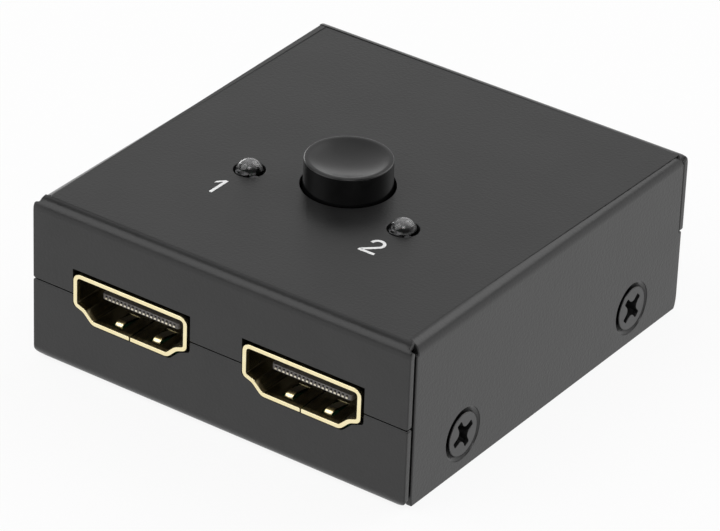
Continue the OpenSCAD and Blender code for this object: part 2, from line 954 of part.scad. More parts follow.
// Open coil of round wire that stands on the XY plane
module coil(radius, wire_r, turns, height, per_turn = 16, sides = 6) {
    pitch = (height - 2 * wire_r) / turns;
    steps = turns * per_turn;
    points = [for (i = [0 : steps]) each coil_ring(i, per_turn, radius, pitch, wire_r, sides)];
    last = steps * sides;
    walls = [
        for (i = [0 : steps - 1], j = [0 : sides - 1])
            let (a = i * sides + j)
            let (b = i * sides + (j + 1) % sides)
            each [[a, a + sides, b], [b, a + sides, b + sides]]
    ];
    start = [for (j = [1 : sides - 2]) [0, j, j + 1]];
    end = [for (j = [1 : sides - 2]) [last, last + j + 1, last + j]];
    translate([0, 0, wire_r])
        polyhedron(points, concat(walls, start, end));
}

module switch_return_spring() {
    color("#b8bbbf")
        at_button(base_top)
            coil((spring_d - spring_wire) / 2, spring_wire / 2, spring_turns, spring_top - base_top);
}

module switch_housing() {
    color("#26262a")
        difference() {
            at_button(base_top)
                square_post(switch_w, switch_top - base_top);
            at_button(base_top - past)
                square_post(cavity_w, roof_z - base_top + past);
            at_button(roof_z - past)
                square_post(stem_w + 2 * stem_gap, switch_wall + 2 * past);
        }
}

module switch_base() {
    pilot_d = spring_d - 2 * spring_wire - 2 * spring_gap;
    pilot_h = 0.6;
    color("#3b2f26")
        at_button(board_top) {
            square_post(switch_w, base_t);
            cylinder(d = pilot_d, h = base_t + pilot_h);
        }
}

module switch_terminals() {
    low = board_z - terminal_below;
    color("#c9ccd0")
        for (i = [-1 : 1], e = [-1, 1])
            at_button(low)
                translate([i * terminal_pitch - terminal_w / 2, e * terminal_y - terminal_t / 2, 0])
                    cube([terminal_w, terminal_t, block_top - low]);
}

// Wire that stands in the base and hooks into the plunger's slot
module switch_latch_wire() {
    hook = latch_x - (plunger_w / 2 - latch_slot_depth + spring_gap);
    color("#b8bbbf")
        at_button(base_top)
            translate([latch_x, 0, 0]) {
                cylinder(d = latch_d, h = latch_z - base_top, $fn = 24);
                translate([0, 0, latch_z - base_top])
                    sphere(d = latch_d, $fn = 24);
                translate([0, 0, latch_z - base_top])
                    rotate([0, -90, 0])
                        cylinder(d = latch_d, h = hook, $fn = 24);
            }
}

// Lamp places: lamp 1 is on the button's left and lamp 2 on its right
function lamp_x(k) = button_x + (k - 1.5) * lamp_pitch;

module at_lamp(k, z) {
    translate([lamp_x(k), lamp_y, z])
        children();
}

module lamp_lens(k) {
    dome_z = lamp_len - lamp_d / 2;
    color("#dfe3e6", 0.5)
        at_lamp(k, lamp_base) {
            cylinder(d = lamp_flange_d, h = lamp_flange_t);
            cylinder(d = lamp_d, h = dome_z);
            translate([0, 0, dome_z])
                sphere(d = lamp_d);
        }
}

// Half of a lamp's lead frame: a lead, then its flat end of width w inside the lens
module lead_outline(w) {
    low = board_z - lead_below;
    knee = lamp_base + lamp_flange_t / 2;
    top = lamp_base + frame_h;
    end_x = frame_gap / 2;
    lead_x = (lead_pitch + lead_w) / 2;
    polygon([
        [lead_x - lead_w, low],
        [lead_x, low],
        [lead_x, knee],
        [end_x + w, knee],
        [end_x + w, top],
        [end_x, top],
        [end_x, knee - lead_w],
        [lead_x - lead_w, knee - lead_w]
    ]);
}

module lamp_leads(k) {
    cup_d = 0.8 * lead_w;
    cup_depth = 0.3;
    color("#c4c7cb")
        at_lamp(k, 0)
            difference() {
                along_y(-lead_w / 2, lead_w) {
                    lead_outline(post_w);
                    mirror([1, 0])
                        lead_outline(anvil_w);
                }
                translate([-(frame_gap + anvil_w) / 2, 0, lamp_base + frame_h - cup_depth])
                    cylinder(d = cup_d, h = cup_depth + past);
            }
}

// Pads along the four edges of the selector chip
module selector_pads() {
    pad_l = 0.5;
    pad_w = 0.5 * pad_pitch;
    long_row = floor((chip_w - 2 * pad_l) / pad_pitch);
    short_row = floor((chip_d - 2 * pad_l) / pad_pitch);
    color("#c9ccd0")
        translate([0, chip_y, board_top + pad_t / 2])
            for (m = [-1, 1]) {
                for (i = [0 : long_row - 1])
                    translate([(i - (long_row - 1) / 2) * pad_pitch, m * chip_d / 2, 0])
                        cube([pad_w, pad_l, pad_t], center = true);
                for (i = [0 : short_row - 1])
                    translate([m * chip_w / 2, (i - (short_row - 1) / 2) * pad_pitch, 0])
                        cube([pad_l, pad_w, pad_t], center = true);
            }
}

module selector_chip() {
    dot_d = 0.5;
    dot_inset = 0.9;
    color("#202124")
        translate([-chip_w / 2, chip_y - chip_d / 2, board_top + pad_t])
            difference() {
                cube([chip_w, chip_d, chip_h]);
                translate([dot_inset, dot_inset, chip_h - pad_t])
                    cylinder(d = dot_d, h = past);
            }
}

module regulator() {
    color("#202124")
        translate([regulator_place.x, regulator_place.y, board_top + wing_t])
            translate([-regulator_w / 2, -regulator_d / 2, 0])
                cube([regulator_w, regulator_d, regulator_h]);
}

// Gull-wing leads of the regulator, three on one side and two on the other
module regulator_leads() {
    wing_l = 0.6;
    wing_w = 0.4;
    mid_z = wing_t + regulator_h / 2;
    color("#c9ccd0")
        translate([regulator_place.x, regulator_place.y, board_top])
            for (lead = [[-1, -1], [0, -1], [1, -1], [-1, 1], [1, 1]])
                translate([lead.x * regulator_lead_pitch, 0, 0])
                    along_x(-wing_w / 2, wing_w)
                        mirror([lead.y > 0 ? 0 : 1, 0])
                            translate([regulator_d / 2, 0])
                                polygon([
                                    [0, mid_z],
                                    [2 * wing_t, mid_z],
                                    [2 * wing_t, wing_t],
                                    [wing_l, wing_t],
                                    [wing_l, 0],
                                    [wing_t, 0],
                                    [wing_t, mid_z - wing_t],
                                    [0, mid_z - wing_t]
                                ]);
}

// Chip parts that stand on the board at a list of places
module passives(places, h) {
    for (p = places)
        translate([p.x - passive_l / 2, p.y - passive_w / 2, board_top])
            cube([passive_l, passive_w, h]);
}

module chip_resistors() {
    color("#1b1b1d")
        passives(resistor_places, resistor_h);
}

module chip_capacitors() {
    color("#b48a5c")
        passives(capacitor_places, capacitor_h);
}

top_cover();
bottom_tray();
cover_screws();
port_shell(1);  // port_1_shell
port_insulator(1);  // port_1_insulator
port_contacts(1, upper_contacts, 1);  // port_1_upper_contacts
port_contacts(1, lower_contacts, -1);  // port_1_lower_contacts
port_shell(2);  // port_2_shell
port_insulator(2);  // port_2_insulator
port_contacts(2, upper_contacts, 1);  // port_2_upper_contacts
port_contacts(2, lower_contacts, -1);  // port_2_lower_contacts
port_shell(3);  // common_shell
port_insulator(3);  // common_insulator
port_contacts(3, upper_contacts, 1);  // common_upper_contacts
port_contacts(3, lower_contacts, -1);  // common_lower_contacts
circuit_board();
board_standoffs();
board_screws();
button_cap();
switch_plunger();
switch_bridges();
switch_return_spring();
switch_housing();
switch_base();
switch_terminals();
switch_latch_wire();
lamp_lens(1);  // lamp_1_lens
lamp_leads(1);  // lamp_1_leads
lamp_lens(2);  // lamp_2_lens
lamp_leads(2);  // lamp_2_leads
selector_chip();
selector_pads();
regulator();
regulator_leads();
chip_resistors();
chip_capacitors();
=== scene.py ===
from math import cos, pi, radians, sin, sqrt

import bpy
from mathutils import Matrix, Vector


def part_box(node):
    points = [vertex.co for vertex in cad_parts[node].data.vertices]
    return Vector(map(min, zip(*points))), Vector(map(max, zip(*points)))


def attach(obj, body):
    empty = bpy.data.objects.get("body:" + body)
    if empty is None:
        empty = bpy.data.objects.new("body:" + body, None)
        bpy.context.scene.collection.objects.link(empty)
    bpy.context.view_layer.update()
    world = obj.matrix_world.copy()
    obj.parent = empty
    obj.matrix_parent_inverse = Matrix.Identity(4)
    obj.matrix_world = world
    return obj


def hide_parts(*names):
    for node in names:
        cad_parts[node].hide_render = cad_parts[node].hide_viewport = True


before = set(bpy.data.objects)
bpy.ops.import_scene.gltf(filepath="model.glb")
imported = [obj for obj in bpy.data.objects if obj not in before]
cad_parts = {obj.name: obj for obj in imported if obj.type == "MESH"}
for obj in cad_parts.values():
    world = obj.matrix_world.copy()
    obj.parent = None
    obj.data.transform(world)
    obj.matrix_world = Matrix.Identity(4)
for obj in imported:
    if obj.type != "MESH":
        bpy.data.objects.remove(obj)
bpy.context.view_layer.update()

mm = 0.001  # sizes in the dictionaries are in millimetres
near = 0.01 * mm  # how close counts as the same place
print("frame loaded with", len(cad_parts), "nodes")


# selecting and editing

def deselectAll():
    if bpy.context.object and bpy.context.object.mode != "OBJECT":
        bpy.ops.object.mode_set(mode="OBJECT")
    bpy.ops.object.select_all(action="DESELECT")


def activate(piece):
    deselectAll()
    piece.select_set(True)
    bpy.context.view_layer.objects.active = piece


def openAll(piece):
    activate(piece)
    bpy.ops.object.mode_set(mode="EDIT")
    bpy.ops.mesh.select_all(action="SELECT")


# selects what passes the test, and leaves the piece in edit mode
def pick(piece, kind, test):
    activate(piece)
    bpy.ops.object.mode_set(mode="EDIT")
    bpy.ops.mesh.select_mode(type=kind)
    bpy.ops.mesh.select_all(action="DESELECT")
    bpy.ops.object.mode_set(mode="OBJECT")
    mesh = piece.data
    if kind == "VERT":
        for vertex in mesh.vertices:
            vertex.select = test(vertex.co)
    elif kind == "EDGE":
        for edge in mesh.edges:
            a, b = (mesh.vertices[i].co for i in edge.vertices)
            edge.select = test((a + b) / 2, b - a)
    else:
        for face in mesh.polygons:
            face.select = test(face.center, face.normal)
    bpy.ops.object.mode_set(mode="EDIT")


def closeEdit():
    bpy.ops.object.mode_set(mode="OBJECT")


def takeNew(name):
    bpy.ops.object.transform_apply(location=True, rotation=True, scale=True)
    piece = bpy.context.object
    piece.name = name
    piece.data.name = name
    return piece


def addBlock(name, low, high):
    deselectAll()
    low, high = Vector(low), Vector(high)
    bpy.ops.mesh.primitive_cube_add(size=1, location=(low + high) / 2)
    bpy.context.object.scale = high - low
    return takeNew(name)


def addPlate(name, centre, sizeX, sizeY):
    deselectAll()
    bpy.ops.mesh.primitive_plane_add(size=1, location=centre)
    bpy.context.object.scale = (sizeX, sizeY, 1)
    return takeNew(name)


# a cylinder or cone that starts at a point and runs along an axis
def addRound(name, start, axis, length, radius, endRadius=None, steps=64):
    deselectAll()
    axis = Vector(axis).normalized()
    bpy.ops.mesh.primitive_cone_add(
        vertices=steps, radius1=radius, radius2=radius if endRadius is None else endRadius, depth=length,
        location=Vector(start) + axis * length / 2, rotation=axis.to_track_quat("Z", "Y").to_euler())
    return takeNew(name)


def slideEdges(move):
    bpy.ops.mesh.extrude_edges_move(TRANSFORM_OT_translate={"value": move})


def slideFaces(move):
    bpy.ops.mesh.extrude_region_move(TRANSFORM_OT_translate={"value": move})


def outwards(piece):
    openAll(piece)
    bpy.ops.mesh.remove_doubles(threshold=near)
    bpy.ops.mesh.normals_make_consistent(inside=False)
    closeEdit()


def applyNew(piece, kind, **values):
    modifier = piece.modifiers.new(kind.lower(), kind)
    for key, value in values.items():
        setattr(modifier, key, value)
    activate(piece)
    bpy.ops.object.modifier_apply(modifier=modifier.name)


def cutAway(piece, cutters):
    for cutter in cutters:
        applyNew(piece, "BOOLEAN", operation="DIFFERENCE", object=cutter, solver="EXACT")


def throwAway(things):
    for thing in things:
        bpy.data.objects.remove(thing)


def roundEdges(piece, width, steps=3, angle=40):
    openAll(piece)
    bpy.ops.mesh.remove_doubles(threshold=near / 10)
    closeEdit()
    applyNew(piece, "BEVEL", width=width, segments=steps, limit_method="ANGLE", angle_limit=radians(angle),
             use_clamp_overlap=False)


def joinInto(piece, others):
    activate(piece)
    for other in others:
        other.select_set(True)
    bpy.ops.object.join()


def copyOf(piece, name):
    copy = piece.copy()
    copy.data = piece.data.copy()
    copy.name = name
    copy.data.name = name
    bpy.context.scene.collection.objects.link(copy)
    return copy


def shift(piece, move, turn=0):
    piece.data.transform(Matrix.Translation(move) @ Matrix.Rotation(turn, 4, "Z"))


def finishPiece(piece, body, material, nodes=(), smooth=35):
    activate(piece)
    bpy.ops.object.shade_smooth_by_angle(angle=radians(smooth))
    applyNew(piece, "WEIGHTED_NORMAL", keep_sharp=True)
    piece.data.materials.clear()
    piece.data.materials.append(material)
    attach(piece, body)
    if nodes:
        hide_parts(*nodes)


# materials

def newMaterial(name):
    material = bpy.data.materials.new(name)
    material.use_nodes = True
    tree = material.node_tree
    return material, tree, tree.nodes["Principled BSDF"]


def addNode(tree, kind, **inputs):
    node = tree.nodes.new(kind)
    for key, value in inputs.items():
        node.inputs[key.replace("_", " ")].default_value = value
    return node


def objectPlace(tree):
    return addNode(tree, "ShaderNodeTexCoord").outputs["Object"]


def splitAxes(tree, place):
    split = addNode(tree, "ShaderNodeSeparateXYZ")
    tree.links.new(place, split.inputs["Vector"])
    return split.outputs


# a Math node fed by sockets and plain numbers
def combine(tree, operation, *values):
    node = addNode(tree, "ShaderNodeMath")
    node.operation = operation
    for socket, value in zip(node.inputs, values):
        if isinstance(value, float):
            socket.default_value = value
        else:
            tree.links.new(value, socket)
    return node.outputs["Value"]


def mapTo(tree, value, fromLow, fromHigh, low, high, curve="SMOOTHSTEP"):
    node = addNode(tree, "ShaderNodeMapRange", From_Min=fromLow, From_Max=fromHigh, To_Min=low, To_Max=high)
    node.interpolation_type = curve
    tree.links.new(value, node.inputs["Value"])
    return node.outputs["Result"]


noiseSpan = (0.3, 0.7)  # most of a noise lies between these


def noiseAt(tree, size, detail=3.0):
    noise = addNode(tree, "ShaderNodeTexNoise", Scale=1 / size, Detail=detail, Roughness=0.55)
    tree.links.new(objectPlace(tree), noise.inputs["Vector"])
    return noise.outputs["Fac"]


# wanders from the dark colour to the light one
def tone(tree, factor, look):
    node = addNode(tree, "ShaderNodeValToRGB")
    for stop, place, colour in zip(node.color_ramp.elements, noiseSpan, (look["dark"], look["light"])):
        stop.position = place
        stop.color = (*colour, 1)
    tree.links.new(factor, node.inputs["Fac"])
    return node.outputs["Color"]


# gloss that wanders with the patches, over a fine relief
def roughen(tree, shader, look, patch, detail=3.0):
    gloss = mapTo(tree, patch, *noiseSpan, *look["roughness"], curve="LINEAR")
    tree.links.new(gloss, shader.inputs["Roughness"])
    bump = addNode(tree, "ShaderNodeBump", Strength=1.0, Distance=look["relief"] * mm)
    tree.links.new(noiseAt(tree, look["grain"] * mm, detail), bump.inputs["Height"])
    tree.links.new(bump.outputs["Normal"], shader.inputs["Normal"])


# a surface whose colour and gloss wander a little
def wornSurface(name, look):
    material, tree, shader = newMaterial(name)
    patch = noiseAt(tree, look["patch"] * mm)
    tree.links.new(tone(tree, patch, look), shader.inputs["Base Color"])
    roughen(tree, shader, look, patch, detail=2.0)
    shader.inputs["Metallic"].default_value = look.get("metallic", 0.0)
    shader.inputs["IOR"].default_value = look.get("ior", 1.5)
    return material


# widths of the patches and the grain, depth of the relief, colours, and the least and most roughness
powderLook = {"patch": 6.0, "grain": 0.32, "relief": 0.021, "dark": (0.0105, 0.0105, 0.0106),
              "light": (0.0145, 0.0145, 0.0146), "roughness": (0.28, 0.34)}
screwLook = {"patch": 0.8, "grain": 0.12, "relief": 0.004, "dark": (0.014, 0.014, 0.014),
             "light": (0.03, 0.03, 0.031), "roughness": (0.34, 0.46), "ior": 1.6}
# near-black colour for the inside of the screws' cross: painted shade
recessShadeLook = {"patch": 0.5, "grain": 0.1, "relief": 0.003, "dark": (0.002, 0.002, 0.002),
              "light": (0.006, 0.006, 0.006), "roughness": (0.6, 0.8), "ior": 1.25}
contactLook = {"patch": 0.4, "grain": 0.06, "relief": 0.001, "dark": (0.76, 0.70, 0.57),
               "light": (0.90, 0.86, 0.75), "roughness": (0.25, 0.4), "metallic": 1.0}
tongueLook = {"patch": 0.9, "grain": 0.08, "relief": 0.003, "dark": (0.12, 0.11, 0.11),
              "light": (0.20, 0.19, 0.19), "roughness": (0.4, 0.55)}
buttonLook = {"patch": 2.4, "grain": 0.09, "relief": 0.0006, "dark": (0.0025, 0.0025, 0.0026),
              "light": (0.0045, 0.0045, 0.0046), "roughness": (0.2, 0.27)}
boardLook = {"patch": 1.6, "grain": 0.25, "relief": 0.006, "dark": (0.012, 0.10, 0.045),
             "light": (0.02, 0.15, 0.07), "roughness": (0.3, 0.42)}
brassLook = {"patch": 1.2, "grain": 0.15, "relief": 0.002, "dark": (0.55, 0.40, 0.15),
             "light": (0.72, 0.56, 0.26), "roughness": (0.25, 0.4), "metallic": 1.0}
steelLook = {"patch": 0.9, "grain": 0.1, "relief": 0.0015, "dark": (0.48, 0.49, 0.51),
             "light": (0.68, 0.69, 0.70), "roughness": (0.22, 0.38), "metallic": 1.0}
# lamp leads coloured near-black metal so the inside of the lamp reads dark: painted shade
shadedLeadLook = {"patch": 0.5, "grain": 0.1, "relief": 0.0015, "dark": (0.07, 0.07, 0.072),
            "light": (0.14, 0.14, 0.143), "roughness": (0.45, 0.6), "metallic": 1.0}
whitePlasticLook = {"patch": 1.5, "grain": 0.12, "relief": 0.002, "dark": (0.70, 0.69, 0.65),
                    "light": (0.80, 0.79, 0.75), "roughness": (0.4, 0.5)}
darkPlasticLook = {"patch": 1.2, "grain": 0.12, "relief": 0.003, "dark": (0.016, 0.015, 0.014),
                   "light": (0.03, 0.028, 0.026), "roughness": (0.45, 0.6)}
ceramicLook = {"patch": 0.6, "grain": 0.08, "relief": 0.002, "dark": (0.34, 0.21, 0.11),
               "light": (0.48, 0.33, 0.20), "roughness": (0.35, 0.5)}
inkLook = {"patch": 0.5, "grain": 0.1, "relief": 0.002, "dark": (0.85, 0.85, 0.85),
           "light": (0.93, 0.93, 0.93), "roughness": (0.45, 0.6)}

powderCoat = wornSurface("blackPowderCoat", powderLook)
recessShadeBlack = wornSurface("paintedShadeScrewRecess", recessShadeLook)
screwBlack = wornSurface("blackOxideScrew", screwLook)
contactGold = wornSurface("goldContact", contactLook)
tonguePlastic = wornSurface("greyTonguePlastic", tongueLook)
buttonGloss = wornSurface("glossBlackButton", buttonLook)
boardMask = wornSurface("greenSolderMask", boardLook)
turnedBrass = wornSurface("turnedBrass", brassLook)
tinnedSteel = wornSurface("tinnedSteel", steelLook)
shadedLampLead = wornSurface("shadedLampLeadMetal", shadedLeadLook)
whitePlastic = wornSurface("whiteSwitchPlastic", whitePlasticLook)
darkPlastic = wornSurface("darkMouldedPlastic", darkPlasticLook)
tanCeramic = wornSurface("tanCeramic", ceramicLook)
printedInk = wornSurface("whitePrintedInk", inkLook)


# inside: share of the gold colour left under the painted shade deep in a port; fade: how long the painted
# shade takes to set in; rimBright and fingerBright: how far behind the mouth it begins
shellGoldLook = {"patch": 1.1, "grain": 0.09, "relief": 0.0006, "dark": (0.93, 0.81, 0.48),
                 "light": (0.98, 0.88, 0.57), "roughness": (0.16, 0.26), "inside": 0.3, "fade": 0.5,
                 "rimBright": 0.3, "fingerBright": 1.55}


# gold plate whose colour is darkened with painted shade a given distance behind the mouth of a port
def makeGold(name, look, brightDepth):
    material, tree, shader = newMaterial(name)
    patch = noiseAt(tree, look["patch"] * mm)
    reach = combine(tree, "ABSOLUTE", splitAxes(tree, objectPlace(tree))["Y"])
    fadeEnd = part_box("common_shell")[1].y - brightDepth * mm
    # painted shade: the gold colour is scaled down behind the mouth
    goldUnderShade = addNode(tree, "ShaderNodeVectorMath")
    goldUnderShade.operation = "SCALE"
    tree.links.new(tone(tree, patch, look), goldUnderShade.inputs[0])
    fade = mapTo(tree, reach, fadeEnd - look["fade"] * mm, fadeEnd, look["inside"], 1.0)
    tree.links.new(fade, goldUnderShade.inputs["Scale"])
    tree.links.new(goldUnderShade.outputs["Vector"], shader.inputs["Base Color"])
    roughen(tree, shader, look, patch)
    shader.inputs["Metallic"].default_value = 1.0
    return material


clearLook = {"patch": 0.9, "grain": 0.35, "relief": 0.002, "tint": (0.90, 0.90, 0.91),
             "roughness": (0.07, 0.12), "ior": 1.54, "hazeStart": 0.5, "hazeEnd": 1.15, "clear": 0.8}


# epoxy that is clear low down and a little milky in the dome
def makeClearEpoxy(look):
    material, tree, shader = newMaterial("clearLampEpoxy")
    roughen(tree, shader, look, noiseAt(tree, look["patch"] * mm))
    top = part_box("top_cover")[1].z
    hazeStart, hazeEnd = top + look["hazeStart"] * mm, top + look["hazeEnd"] * mm
    clear = mapTo(tree, splitAxes(tree, objectPlace(tree))["Z"], hazeStart, hazeEnd, 1.0, look["clear"])
    tree.links.new(clear, shader.inputs["Transmission Weight"])
    shader.inputs["Base Color"].default_value = (*look["tint"], 1)
    shader.inputs["IOR"].default_value = look["ior"]
    return material


shellGold = makeGold("goldPlatedShell", shellGoldLook, shellGoldLook["rimBright"])
fingerGold = makeGold("goldPlatedFinger", shellGoldLook, shellGoldLook["fingerBright"])
clearEpoxy = makeClearEpoxy(clearLook)
print("materials made:", len(bpy.data.materials))


# every CAD node takes a finish by its kind, also where a new piece replaces it
nodeFinishes = {
    "circuit_board": boardMask, "board_standoffs": turnedBrass, "board_screws": tinnedSteel,
    "switch_plunger": whitePlastic, "switch_bridges": contactGold, "switch_return_spring": tinnedSteel,
    "switch_housing": darkPlastic, "switch_base": darkPlastic, "switch_terminals": tinnedSteel,
    "switch_latch_wire": tinnedSteel, "lamp_1_leads": shadedLampLead, "lamp_2_leads": shadedLampLead,
    "selector_chip": darkPlastic, "selector_pads": tinnedSteel, "regulator": darkPlastic,
    "regulator_leads": tinnedSteel, "chip_resistors": darkPlastic, "chip_capacitors": tanCeramic,
    "top_cover": powderCoat, "bottom_tray": powderCoat, "cover_screws": screwBlack, "button_cap": buttonGloss,
    "lamp_1_lens": clearEpoxy, "lamp_2_lens": clearEpoxy,
}
portNames = ("port_1", "port_2", "common")
for port in portNames:
    nodeFinishes[port + "_shell"] = shellGold
    nodeFinishes[port + "_insulator"] = tonguePlastic
    nodeFinishes[port + "_upper_contacts"] = contactGold
    nodeFinishes[port + "_lower_contacts"] = contactGold
for node, finish in nodeFinishes.items():
    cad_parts[node].data.materials.clear()
    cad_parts[node].data.materials.append(finish)
print("finishes given to", len(nodeFinishes), "nodes")


# folded steel case, whose front end is -1 and back end is 1

coverSheet = {"thick": 0.8, "bend": 1.4, "bendSteps": 12, "sideFoldEnd": 1.5, "panelFoldFront": 0.55,
              "panelFoldBack": 0.3, "wallFront": 1.2, "wallBack": 0.83, "wallTail": 0.55, "panelEdge": 9.8,
              "earTop": 0.42, "earRound": 0.3, "wallRounds": {-1: 1.2, 1: 1.9}, "cornerRound": 0.25,
              "edgeRound": 0.15, "holeEdge": 0.1}
traySheet = {"thick": 0.8, "bend": 1.4, "bendSteps": 12, "floorEnd": 0.95, "panelEdge": 9.7, "earLow": 0.45,
             "earRound": 0.6, "tabWide": 10.0, "tabHigh": 8.6, "tabNotch": 0.5, "collar": 4.8,
             "collarLong": 1.6, "cornerRound": 0.25, "edgeRound": 0.15}
holeWide = {"button_cap": 10.3, "lamp_1_lens": 3.5, "lamp_2_lens": 3.5}
screwSize = {"head": 5.1, "shank": 3.0, "long": 4.0, "tip": 0.4, "tipShare": 0.73, "rise": 0.08,
             "headEdge": 0.1, "ring": 0.5, "ringDeep": 0.1, "seat": 3.64, "seatEdge": 0.3, "hole": 3.06,
             "cross": 1.75, "wing": 0.4, "wingRound": 0.16, "fillet": 0.7, "crossEdge": 0.05,
             "recess": ((0.55, 0.94), (0.7, 0.45), (0.4, 0.15)),  # depth and taper of each step
             "turns": (26, 42)}
screwLow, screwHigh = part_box("cover_screws")
screwY = (screwLow.y + screwSize["head"] / 2 * mm, screwHigh.y - screwSize["head"] / 2 * mm)
screwZ = (screwLow.z + screwHigh.z) / 2


def fullY(sheet):
    return max(vertex.co.y for vertex in sheet.data.vertices)


# widens the ends of a folded panel, with a round step in its bend
def widenEars(sheet, size, foldX, fullX, end, levels):
    for side in (-1, 1):
        for z, share in levels:
            pick(sheet, "VERT", lambda at: abs(at.x - side * foldX) < near and abs(at.z - z) < near
                 and at.y * end > fullY(sheet) - size["bend"] * mm)
            bpy.ops.transform.translate(value=(side * share * (fullX - foldX), 0, 0))
    closeEdit()


# share of a quarter round's width that is reached at a depth
def roundShare(depth, radius):
    t = min(max(depth / radius, 0), 1)
    return sqrt(1 - (1 - t) ** 2)


# heights in a bend and how far the panel's end has widened there
def bendLevels(size, start, way, first):
    bend = size["bend"] * mm
    levels = []
    for step in range(size["bendSteps"] + 1):
        drop = bend * (1 - cos(step * pi / 2 / size["bendSteps"]))
        share = roundShare(drop - first * mm, size["earRound"] * mm)
        if share > 0:
            levels.append((start + way * drop, share))
    return levels


# lets the back end of a side fold run slantwise into the end of its wall
def slantFold(cover, size, side, flatX, bendZ, foldY, wallY):
    bend = size["bend"] * mm
    for step in range(1, size["bendSteps"] + 1):
        angle = step * pi / 2 / size["bendSteps"]
        place = Vector((side * (flatX + bend * sin(angle)), foldY, bendZ + bend * cos(angle)))
        pick(cover, "VERT", lambda at: (at - place).length < near)
        bpy.ops.transform.translate(value=(0, (wallY - foldY) * step / size["bendSteps"], 0))
    closeEdit()


# lets the back end of a side wall run on below the seam
def runOnWall(cover, side, wallX, foldY, wallY, tail):
    seam = traySheet["panelEdge"] * mm
    pick(cover, "FACE", lambda mid, normal: abs(mid.x - side * wallX) < near and mid.y > foldY)
    bpy.ops.mesh.bisect(plane_co=(0, 0, seam), plane_no=(0, 0, 1), threshold=near)
    pick(cover, "EDGE", lambda mid, run: abs(mid.x - side * wallX) < near and abs(mid.y - wallY) < near
         and mid.z < seam)
    slideEdges((0, tail, 0))


def foldCover(size):
    low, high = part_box("top_cover")
    bend = size["bend"] * mm
    flatX, flatY, bendZ = high.x - bend, high.y - bend, high.z - bend
    foldY = high.y - size["sideFoldEnd"] * mm
    foldXs = {-1: high.x - size["panelFoldFront"] * mm, 1: high.x - size["panelFoldBack"] * mm}
    wallEnds = {-1: high.y - size["wallFront"] * mm, 1: high.y - size["wallBack"] * mm}
    panelEdge, tail = size["panelEdge"] * mm, size["wallTail"] * mm
    cover = addPlate("topCover", (0, 0, high.z), 2 * flatX, 2 * flatY)
    for y in (-foldY, foldY):
        openAll(cover)
        bpy.ops.mesh.bisect(plane_co=(0, y, high.z), plane_no=(0, 1, 0), threshold=near)
    for side in (-1, 1):
        for end, foldX in foldXs.items():
            pick(cover, "EDGE", lambda mid, run: abs(mid.x - side * flatX) < near and mid.y * end > foldY)
            slideEdges((side * (foldX - flatX), 0, 0))
        pick(cover, "EDGE", lambda mid, run: abs(mid.x - side * flatX) < near and abs(mid.y) < foldY)
        bpy.ops.mesh.spin(steps=size["bendSteps"], angle=-side * pi / 2, center=(side * flatX, 0, bendZ),
                          axis=(0, 1, 0))
        slideEdges((0, 0, low.z - bendZ))
        for end, wallY in wallEnds.items():
            pick(cover, "EDGE", lambda mid, run: abs(mid.x - side * high.x) < near
                 and abs(mid.y - end * foldY) < near and mid.z < bendZ)
            slideEdges((0, end * (wallY - foldY), 0))
            lowY = end * wallY
            if end > 0:
                runOnWall(cover, side, high.x, foldY, wallY, tail)
                lowY += tail
            pick(cover, "VERT", lambda at: (at - Vector((side * high.x, lowY, low.z))).length < near)
            bpy.ops.mesh.bevel(offset=size["wallRounds"][end] * mm, segments=8, affect="VERTICES")
        slantFold(cover, size, side, flatX, bendZ, foldY, wallEnds[1])
    for end in (-1, 1):
        pick(cover, "EDGE", lambda mid, run: abs(mid.y - end * flatY) < near and abs(run.x) > near)
        bpy.ops.mesh.spin(steps=size["bendSteps"], angle=end * pi / 2, center=(0, end * flatY, bendZ),
                          axis=(1, 0, 0))
        slideEdges((0, 0, panelEdge - bendZ))
    for end in (-1, 1):
        levels = bendLevels(size, high.z, -1, size["earTop"]) + [(panelEdge, 1)]
        widenEars(cover, size, foldXs[end], high.x, end, levels)
        pick(cover, "VERT", lambda at: abs(abs(at.x) - high.x) < near and abs(at.y - end * high.y) < near
             and abs(at.z - panelEdge) < near)
        bpy.ops.mesh.bevel(offset=size["cornerRound"] * mm, segments=3, affect="VERTICES")
    outwards(cover)
    applyNew(cover, "SOLIDIFY", thickness=size["thick"] * mm, offset=-1, use_even_offset=True)
    return cover


